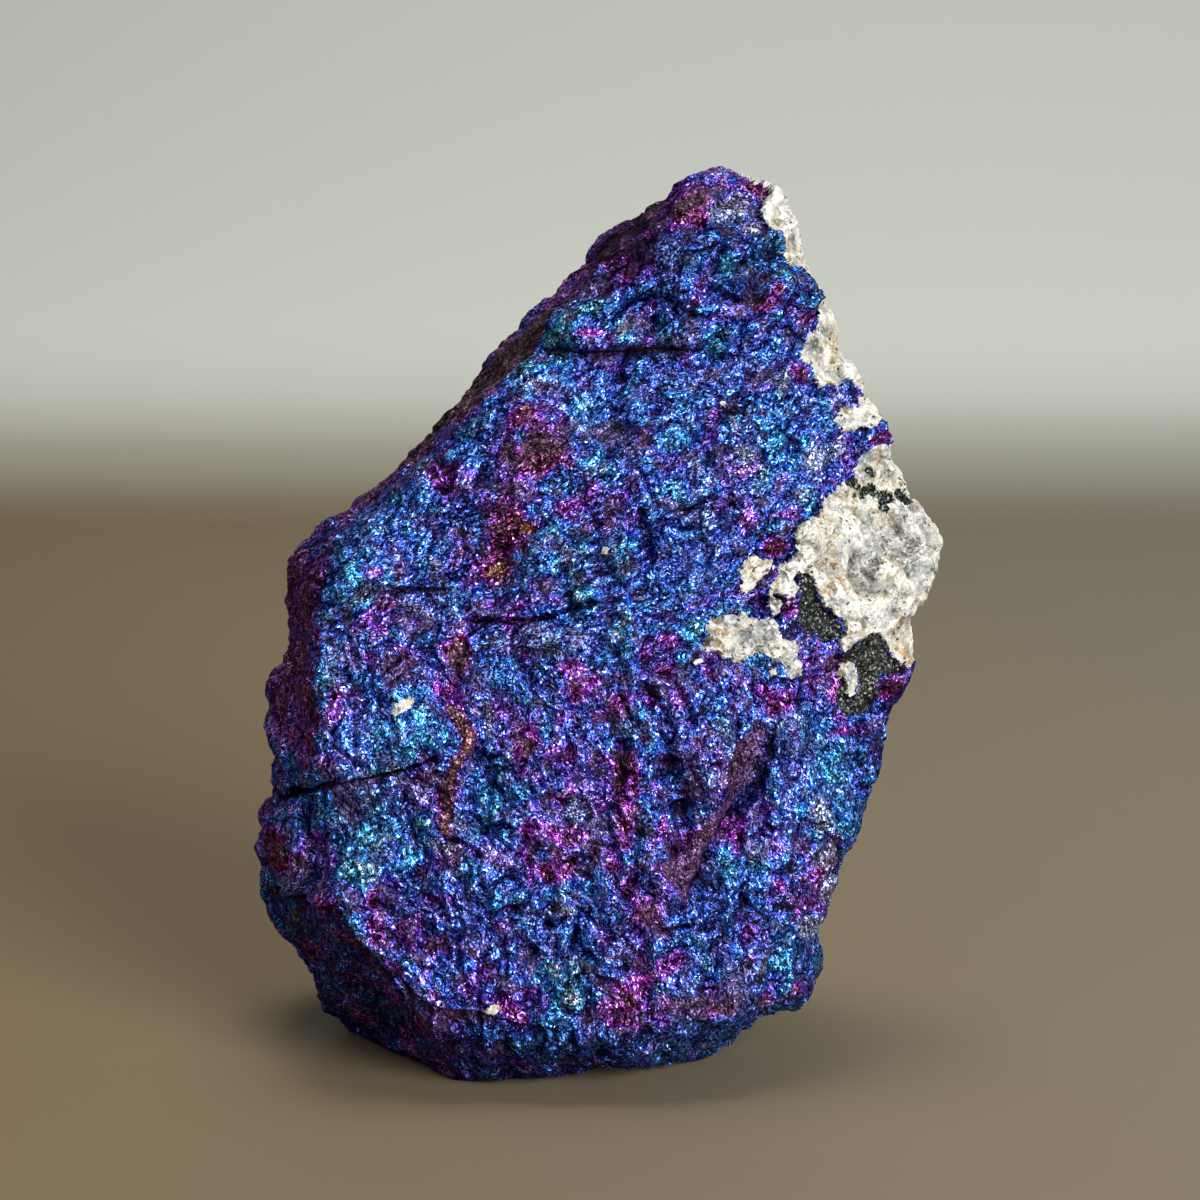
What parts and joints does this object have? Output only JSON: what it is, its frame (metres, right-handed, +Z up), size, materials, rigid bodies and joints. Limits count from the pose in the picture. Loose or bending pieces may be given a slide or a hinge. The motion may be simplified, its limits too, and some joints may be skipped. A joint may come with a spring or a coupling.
{
  "type": "peacock ore specimen",
  "caption": "Rough lump of tarnished peacock ore with a pale host-rock edge, taller than wide, standing on a small flat foot.",
  "frame": {"origin": "under the middle of the box, on the surface that the lump stands on", "axes": "+Z up along the longest extent, +Y from the broad broken front face towards the back, +X to the right of the front face"},
  "size_m": [0.086, 0.06, 0.11],
  "materials": {
    "tarnished_ore": "rough broken copper-iron sulphide with a glittering blue, violet and magenta tarnish, and a patch of dull cream host rock on its right edge"
  },
  "bodies": {
    "root": {"ore_lump": "tarnished_ore"}
  },
  "joints": []
}
